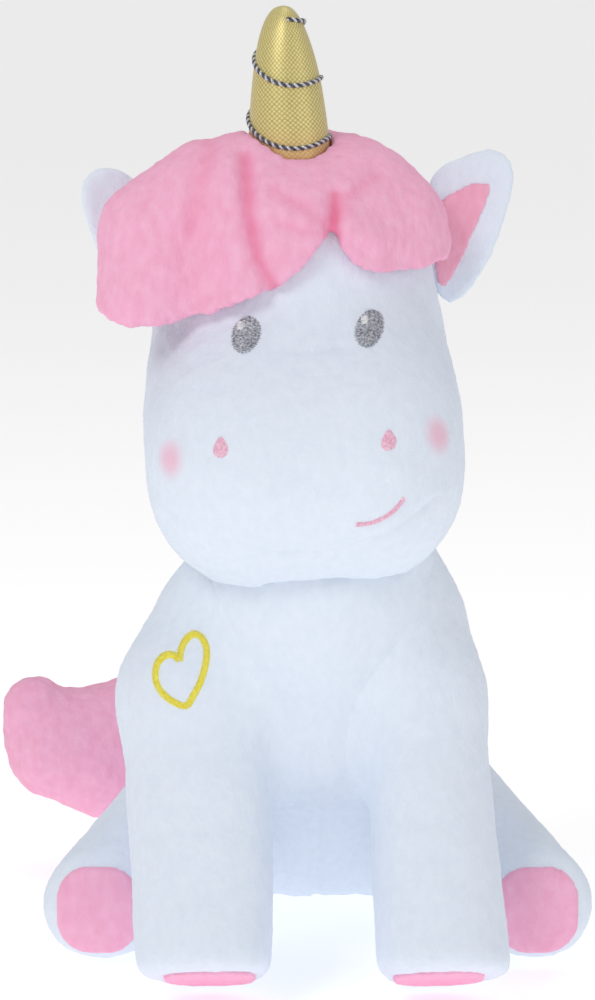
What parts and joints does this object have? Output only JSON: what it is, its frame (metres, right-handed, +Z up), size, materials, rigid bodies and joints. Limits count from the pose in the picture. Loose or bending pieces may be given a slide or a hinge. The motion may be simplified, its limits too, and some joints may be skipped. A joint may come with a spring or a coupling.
{
  "type": "plush unicorn",
  "caption": "Sitting plush unicorn of white pile fabric with a pink fringe and tail, a gold horn, and head, legs, ears and tail that bend at their seams.",
  "frame": {"origin": "centre of the flat seat under the rump, on the surface that the toy sits on", "axes": "+Z up through the toy, the toy looks along -Y, its own left side is +X"},
  "size_m": [0.1605, 0.185, 0.2499],
  "materials": {
    "white_plush": "short pile, matt, cool white",
    "pink_plush": "short pile, matt pink",
    "pink_lining": "smooth short-pile pink lining",
    "gold_lame": "woven metallic gold",
    "silver_cord": "twisted metallic cord",
    "silver_thread": "metallic embroidery thread",
    "pink_thread": "satin embroidery thread",
    "yellow_thread": "satin embroidery thread",
    "white_thread": "sewing thread",
    "stuffing": "loose polyester fibre",
    "bean_bag": "cotton pouch of plastic pellets"
  },
  "bodies": {
    "torso": {"torso_skin": "white_plush", "torso_fill": "stuffing", "bean_pouch": "bean_bag"},
    "neck": {"neck_seam": "white_thread"},
    "head": {"head_skin": "white_plush", "head_fill": "stuffing", "forelock": "pink_plush", "mane": "pink_plush", "left_eye": "silver_thread", "right_eye": "silver_thread", "left_nostril": "pink_thread", "right_nostril": "pink_thread", "mouth": "pink_thread"},
    "horn": {"horn_skin": "gold_lame", "horn_fill": "stuffing", "horn_cord": "silver_cord"},
    "tail": {"tail_skin": "pink_plush", "tail_fill": "stuffing"},
    "left_ear": {"left_ear_back": "white_plush", "left_ear_lining": "pink_lining"},
    "left_foreleg": {"left_foreleg_skin": "white_plush", "left_foreleg_fill": "stuffing", "left_foreleg_sole": "pink_plush"},
    "left_hindleg": {"left_hindleg_skin": "white_plush", "left_hindleg_fill": "stuffing", "left_hindleg_sole": "pink_plush"},
    "right_ear": {"right_ear_back": "white_plush", "right_ear_lining": "pink_lining"},
    "right_foreleg": {"right_foreleg_skin": "white_plush", "right_foreleg_fill": "stuffing", "right_foreleg_sole": "pink_plush", "heart": "yellow_thread"},
    "right_hindleg": {"right_hindleg_skin": "white_plush", "right_hindleg_fill": "stuffing", "right_hindleg_sole": "pink_plush"}
  },
  "joints": [
    {"name": "head_turn", "type": "hinge", "parent": "torso", "child": "neck", "pos_m": [0, -0.08, 0.104], "axis": [0, 0, 1], "range_deg": [-18, 18], "stiffness_Nm_per_rad": 0.6},
    {"name": "head_nod", "type": "hinge", "parent": "neck", "child": "head", "pos_m": [0, -0.08, 0.104], "axis": [1, 0, 0], "range_deg": [-8, 15], "stiffness_Nm_per_rad": 1.2},
    {"name": "horn_flex", "type": "hinge", "parent": "head", "child": "horn", "pos_m": [-0.00691, -0.086, 0.2049], "axis": [1, 0, 0], "range_deg": [-12, 12], "stiffness_Nm_per_rad": 0.08},
    {"name": "left_ear_fold", "type": "hinge", "parent": "head", "child": "left_ear", "pos_m": [0.03678, -0.069, 0.17878], "axis": [-0.2593, 0, 0.9658], "range_deg": [-25, 25], "stiffness_Nm_per_rad": 0.02},
    {"name": "right_ear_fold", "type": "hinge", "parent": "head", "child": "right_ear", "pos_m": [-0.04814, -0.069, 0.17508], "axis": [0.1742, 0, 0.9847], "range_deg": [-25, 25], "stiffness_Nm_per_rad": 0.02},
    {"name": "left_foreleg_swing", "type": "hinge", "parent": "torso", "child": "left_foreleg", "pos_m": [0.028, -0.078, 0.088], "axis": [-1, 0, 0], "range_deg": [0, 35], "stiffness_Nm_per_rad": 0.25},
    {"name": "left_hindleg_splay", "type": "hinge", "parent": "torso", "child": "left_hindleg", "pos_m": [0.03, -0.018, 0.026], "axis": [0, 0, 1], "range_deg": [-5, 22], "stiffness_Nm_per_rad": 0.2},
    {"name": "right_foreleg_swing", "type": "hinge", "parent": "torso", "child": "right_foreleg", "pos_m": [-0.028, -0.078, 0.088], "axis": [-1, 0, 0], "range_deg": [0, 35], "stiffness_Nm_per_rad": 0.25},
    {"name": "right_hindleg_splay", "type": "hinge", "parent": "torso", "child": "right_hindleg", "pos_m": [-0.03, -0.018, 0.026], "axis": [0, 0, -1], "range_deg": [-5, 22], "stiffness_Nm_per_rad": 0.2},
    {"name": "tail_wag", "type": "hinge", "parent": "torso", "child": "tail", "pos_m": [-0.005, 0.04, 0.031], "axis": [0, 0, -1], "range_deg": [0, 60], "stiffness_Nm_per_rad": 0.04}
  ]
}
